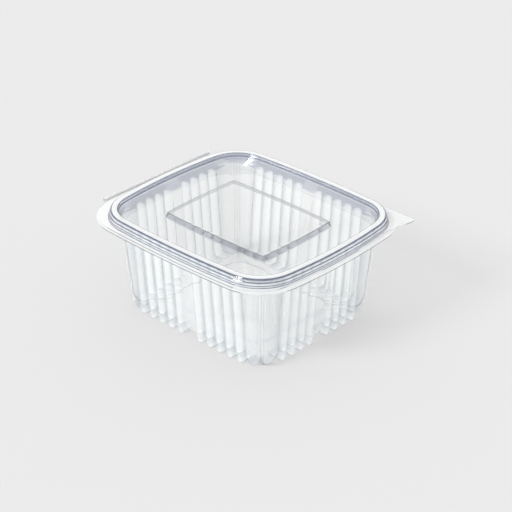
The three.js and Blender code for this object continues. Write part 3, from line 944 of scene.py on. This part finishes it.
# %% The lid's section
LID_PANEL = (29.8, 40.0, 1.2, 1.0, 0.6)
LID_FIELD_Z = 58.4
PLUG = offset(wall(LID_FIELD_Z), -2.4)
LID_FLANGE_Z = 60.4
LID_FLANGE_BACK = (66.3, 77.4, 3.5, 0.4, 28.5)
LID_FLANGE_FRONT = (66.3, 73.0, 3.5, 5.9, 26.5)
lid_levels = [
    level(offset(LID_PANEL, -1.5), 61.4),
    level(LID_PANEL, 61.4),
    level(offset(LID_PANEL, 1.0), LID_FIELD_Z),
    level(PLUG, LID_FIELD_Z),
    level(offset(BEAD, -5.8), 63.3),
    level(offset(BEAD, -5.0), 63.75),
    level(offset(BEAD, -4.6), 65.6),
    level(offset(BEAD, -4.3), 65.9),
    level(offset(BEAD, -0.75), 65.9),
    level(offset(BEAD, 0.0), 65.1),
    level(offset(BEAD, 0.25), 63.7),
    level(offset(BEAD, 0.7), 63.2),
    level(offset(BEAD, 0.85), 62.05),
    level(offset(BEAD, 1.15), 61.6),
    level(offset(BEAD, 1.2), 60.6),
    level(LID_FLANGE_BACK, LID_FLANGE_Z),
]
lid_radii = [0.3, 0.3, 0.6, 0.5, 0.4, 0.4, 0.4, 0.5, 0.4, 0.25, 0.2, 0.25, 0.2, 0.4]
lid_path = rounded(lid_levels, lid_radii, 3)
print("levels in the lid's section:", len(lid_path))


# %% The tab, drawn as a smooth line round its corner
def smooth_line(points, steps=8):
    """A Catmull-Rom line through the points."""
    points = np.array(points, float)
    padded = np.concatenate([[2 * points[0] - points[1]], points, [2 * points[-1] - points[-2]]])
    line = []
    for p0, p1, p2, p3 in zip(padded, padded[1:], padded[2:], padded[3:]):
        for t in np.linspace(0, 1, steps, endpoint=False):
            line.append(0.5 * (
                2 * p1 + (p2 - p0) * t + (2 * p0 - 5 * p1 + 4 * p2 - p3) * t ** 2
                + (3 * p1 - p0 - 3 * p2 + p3) * t ** 3
            ))
    line.append(points[-1])
    return np.array(line)


def distances(points):
    """How far along a line each of its points lies, seen from above."""
    steps = np.hypot(*np.diff(points[:, :2], axis=0).T)
    return np.concatenate([[0], np.cumsum(steps)])


TAB_REACH = (38, -28)
TAB_FRONT_SIDE = ((46, -70.2), (52, -71.0), (57.5, -72.3), (61.5, -73.2))
TAB_TIP = (64.6, -71.5)
TAB_TIP_RADIUS = 2
TAB_TIP_ANGLES = (-98, -70, -45, -20, 2)
TAB_RIGHT_SIDE = ((66.8, -62), (66.7, -45))


def draw_tab(ring):
    """Moves the flange's edge at the front right corner out to the tab's line."""
    quarter = len(ring) // 4
    numbers = [
        number for number in range(3 * quarter, 4 * quarter)
        if ring[number][0] > TAB_REACH[0] and ring[number][1] < TAB_REACH[1]
    ]
    before = ring[numbers[0]][:2]
    after = ring[numbers[-1]][:2]
    tip = []
    for degrees in TAB_TIP_ANGLES:
        angle = math.radians(degrees)
        x = TAB_TIP[0] + TAB_TIP_RADIUS * math.cos(angle)
        tip.append((x, TAB_TIP[1] + TAB_TIP_RADIUS * math.sin(angle)))
    line = smooth_line([before, *TAB_FRONT_SIDE, *tip, *TAB_RIGHT_SIDE, after])
    run = distances(ring[numbers])
    line_run = distances(line)
    places = run / run[-1] * line_run[-1]
    for number, place in zip(numbers, places):
        ring[number][0] = np.interp(place, line_run, line[:, 0])
        ring[number][1] = np.interp(place, line_run, line[:, 1])


# %% The lid's skins and its half of the roll
over, _ = skin(lid_path, lid_stations, 0.0, LID_FLANGE_FRONT)
under, _ = skin(lid_path, lid_stations, -SHEET, LID_FLANGE_FRONT)
draw_tab(over[-1])
draw_tab(under[-1])
lid_rings = np.concatenate([under, over[::-1]])
lid_faces = loft_faces(len(lid_rings), lid_rings.shape[1])
lid_shell = new_piece("lid_shell", lid_rings, lid_faces, lid_plastic)
lid_roll = arc_strip(
    "lid_roll", FOLD_GAP_ANGLE, LID_ROLL_END, ROLL_RADIUS, ROLL_RADIUS - SHEET, 20, lid_plastic,
)
join_into(lid_shell, lid_roll)
finish_smooth(lid_shell, 32)

# %% [markdown]
# ## The fold
#
# On the real box the film between the two halves is the only part that bends when the lid opens,
# so here it is a piece of its own. It is a little thinner than the sheet, as such a fold is
# pressed thin, and it ends just short of both halves.

# %% The film of the fold
FILM_END_ANGLE = FOLD_GAP_ANGLE - 0.4
FILM_OUTSIDE = ROLL_RADIUS - 0.04
FILM_INSIDE = ROLL_RADIUS - SHEET + 0.06
film = arc_strip(
    "hinge_film", -FILM_END_ANGLE, FILM_END_ANGLE, FILM_OUTSIDE, FILM_INSIDE, 8, film_plastic,
)
finish_smooth(film, 40)

# %% [markdown]
# ## The rim and the edges
#
# A clear rim is seen mostly by its edges: the cut edge takes a dark painted shade, the flange and
# the top of the bead are milky, and the step round the lid's panel takes a grey line of painted
# shade. Each of them gets a plastic of its own in a further material slot, and its faces are found
# by slope, height and place.


# %% The cut edges get a dark painted shade, and the pale rim its own plastic
RIM_SLOT = 1
CUT_EDGE_SLOT = 2
UPRIGHT = 0.2
FLAT = 0.97
FLANGE_MARGIN = 0.02
RIM_HALF_X = 64.5
RIM_HALF_Y = 72.6
ROLL_FRONT = 76
ROLL_MARGIN = 1


def paint_rim(piece, flange_low, flange_high, bead_top):
    """The upright rim of the flange is the cut edge, and flange, bead top and roll are the rim."""
    mesh = piece.data
    mesh.materials.append(rim_plastic)
    mesh.materials.append(cut_edge)
    counts = [0, 0, 0]
    for face in mesh.polygons:
        z = face.center.z / MM
        upright = abs(face.normal.z) < UPRIGHT
        flat = abs(face.normal.z) > FLAT
        on_flange = flange_low - FLANGE_MARGIN < z < flange_high + FLANGE_MARGIN
        x = face.center.x / MM
        y = face.center.y / MM - ROW_SHIFT_Y
        beyond = abs(x) > RIM_HALF_X or abs(y) > RIM_HALF_Y
        on_roll = y > ROLL_FRONT and ROLL_LEFT - ROLL_MARGIN < x < ROLL_RIGHT + ROLL_MARGIN
        if on_flange and upright and beyond and not on_roll:
            face.material_index = CUT_EDGE_SLOT
        elif on_roll or (flat and (on_flange or z > bead_top)):
            face.material_index = RIM_SLOT
        counts[face.material_index] += 1
    print(piece.name, "sheet, rim and cut edge faces:", counts)


# %% The lid's panel step and its plug get their painted shade
PANEL_STEP_SLOT = 3
PLUG_SLOT = 4
SLOPED = 0.96
PLUG_TOP_Z = 63.5
PLUG_INSET = 4.2
PANEL_STEP_WIDTH = 3


def outside(outline, x, y):
    """How far a point lies outside an outline."""
    from_corner = math.atan2(y - outline.my, x - outline.mx)
    if y < outline.my and from_corner < outline.start:
        return math.hypot(x - outline.centre_x, y) - outline.radius_x
    if x < outline.mx and (from_corner > outline.end or from_corner < outline.start):
        return math.hypot(x, y - outline.centre_y) - outline.radius_y
    return math.hypot(x - outline.mx, y - outline.my) - outline.corner


def paint_slopes(piece):
    """Painted shade on the sloping step round the lid's panel and on the plug's slope up to the
    bead.
    """
    bead_line = Outline(*BEAD)
    panel_line = Outline(*LID_PANEL)
    mesh = piece.data
    mesh.materials.append(step_plastic)
    mesh.materials.append(plug_plastic)
    counts = [0, 0]
    for face in mesh.polygons:
        x = abs(face.center.x / MM)
        y = abs(face.center.y / MM - ROW_SHIFT_Y)
        sloped = abs(face.normal.z) < SLOPED
        too_high = face.center.z / MM > PLUG_TOP_Z
        if not sloped or too_high or outside(bead_line, x, y) > -PLUG_INSET:
            continue
        on_panel = outside(panel_line, x, y) < PANEL_STEP_WIDTH
        face.material_index = PANEL_STEP_SLOT if on_panel else PLUG_SLOT
        counts[face.material_index - PANEL_STEP_SLOT] += 1
    print(piece.name, "panel step and plug faces:", counts)


paint_rim(tray_shell, TRAY_FLANGE_Z, TRAY_FLANGE_Z + SHEET, bead_top=64.4)
paint_rim(lid_shell, LID_FLANGE_Z - SHEET, LID_FLANGE_Z, bead_top=65.5)
paint_slopes(lid_shell)

# %% [markdown]
# ## What moves
#
# The tray stands still and the lid turns about the fold, so each shell rides its own solid. The
# film is only set in place here.

# %% What each piece stands for and what it moves with
FOLD_HALF = 0.4
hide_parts("tray")
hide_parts("lid")
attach(tray_shell, "tray")
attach(lid_shell, "lid")
fold_start = Vector(to_metres([(0, ROLL_Y + ROLL_RADIUS, ROLL_Z - FOLD_HALF)])[0])
fold_end = Vector(to_metres([(0, ROLL_Y + ROLL_RADIUS, ROLL_Z + FOLD_HALF)])[0])
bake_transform(film)
print("pieces:", tray_shell.name, lid_shell.name, film.name)

# %% [markdown]
# ## Floor, light and camera
#
# Clear plastic shows what is round it, so the light matters more than on any solid thing. The
# main lamp stands to the left of the box, a little towards its fold, and throws the soft shadow
# to the right in the picture. A weak and very wide one shines from behind the box. The room is
# bright above and dark at the level of the table, more so on one side, which draws the dark
# lines along the bends.


# %% The floor
FLOOR_GREY = 0.75


def floor_material():
    material = bpy.data.materials.new("pale_floor")
    material.use_nodes = True
    plain = material.node_tree.nodes["Principled BSDF"]
    plain.inputs["Base Color"].default_value = (FLOOR_GREY, FLOOR_GREY, FLOOR_GREY, 1)
    plain.inputs["Roughness"].default_value = 1.0
    plain.inputs["Specular IOR Level"].default_value = 0.0
    return material


bpy.ops.mesh.primitive_plane_add(size=8.0, location=(0, 0, -0.0001))
floor = bpy.context.object
floor.name = "floor"
floor.data.materials.append(floor_material())
print("floor's material:", floor.data.materials[0].name)


# %% The room, bright above and dark on one side
SKY = (
    (0.0, (0.03, 0.04, 0.07)), (0.24, (0.05, 0.06, 0.10)), (0.44, (1.0, 1.0, 1.03)),
    (0.60, (1.50, 1.50, 1.50)), (1.0, (1.20, 1.20, 1.20)),
)
SKY_STRENGTH = 0.53
DARK_SIDE = (-0.73, -0.68, 0.0)
DARK_SIDE_RISE = 0.2


def room():
    """Brightness by height above the table, with one side of the room darker."""
    world = bpy.data.worlds.new("soft_room")
    bpy.context.scene.world = world
    world.use_nodes = True
    nodes = world.node_tree.nodes
    links = world.node_tree.links
    place = nodes.new("ShaderNodeTexCoord")
    split = nodes.new("ShaderNodeSeparateXYZ")
    ramp = nodes.new("ShaderNodeValToRGB")
    stops = ramp.color_ramp.elements
    while len(stops) < len(SKY):
        stops.new(0.5)
    for stop, (position, colour) in zip(stops, SKY):
        stop.position = position
        stop.color = (*colour, 1)
    side = nodes.new("ShaderNodeVectorMath")
    side.operation = "DOT_PRODUCT"
    side.inputs[1].default_value = DARK_SIDE
    height = nodes.new("ShaderNodeMath")
    height.operation = "MULTIPLY_ADD"
    height.inputs[1].default_value = -DARK_SIDE_RISE
    links.new(place.outputs["Generated"], split.inputs["Vector"])
    links.new(place.outputs["Generated"], side.inputs[0])
    links.new(side.outputs["Value"], height.inputs[0])
    links.new(split.outputs["Z"], height.inputs[2])
    links.new(height.outputs["Value"], ramp.inputs["Fac"])
    links.new(ramp.outputs["Color"], nodes["Background"].inputs["Color"])
    nodes["Background"].inputs["Strength"].default_value = SKY_STRENGTH


room()
print("brightness straight up:", SKY[-1][1][0] * SKY_STRENGTH)


# %% The lamps
def wide_sun(name, direction, strength, degrees):
    """A lamp so far away that the whole table is lit evenly, as wide as a large softbox."""
    data = bpy.data.lights.new(name, "SUN")
    data.energy = strength
    data.angle = math.radians(degrees)
    light = bpy.data.objects.new(name, data)
    light.rotation_euler = Vector(direction).to_track_quat("Z", "Y").to_euler()
    bpy.context.scene.collection.objects.link(light)
    print("lamp:", name, "strength", strength)


wide_sun("key", (-0.78, 0.24, 0.62), strength=2.6, degrees=20)
wide_sun("window", (0.60, 0.57, 0.56), strength=0.08, degrees=45)


# %% The camera, at the photograph's viewing angle
PICTURE_WIDTH = 512


def place_camera(azimuth, elevation, focal_pixels, aim_right, aim_up, distance):
    """Angles in degrees, and the aim and the distance in millimetres."""
    a = math.radians(azimuth)
    e = math.radians(elevation)
    right = Vector((math.cos(a), math.sin(a), 0))
    back = Vector((math.sin(a) * math.cos(e), -math.cos(a) * math.cos(e), math.sin(e)))
    up = back.cross(right)
    data = bpy.data.cameras.new("camera")
    data.sensor_width = 36.0
    data.lens = focal_pixels * data.sensor_width / PICTURE_WIDTH
    data.clip_end = 20.0
    camera = bpy.data.objects.new("camera", data)
    place = (right * aim_right + up * aim_up + back * distance) * MM
    place.y += ROW_SHIFT_Y * MM
    turn = Matrix((right, up, back)).transposed().to_4x4()
    camera.matrix_world = Matrix.Translation(place) @ turn
    bpy.context.scene.collection.objects.link(camera)
    bpy.context.scene.camera = camera
    print("lens in millimetres:", round(data.lens, 1))


place_camera(
    azimuth=-46.83, elevation=29.45, focal_pixels=1800.6,
    aim_right=4.71, aim_up=30.27, distance=1094.3,
)
bpy.context.scene.view_settings.view_transform = "Standard"
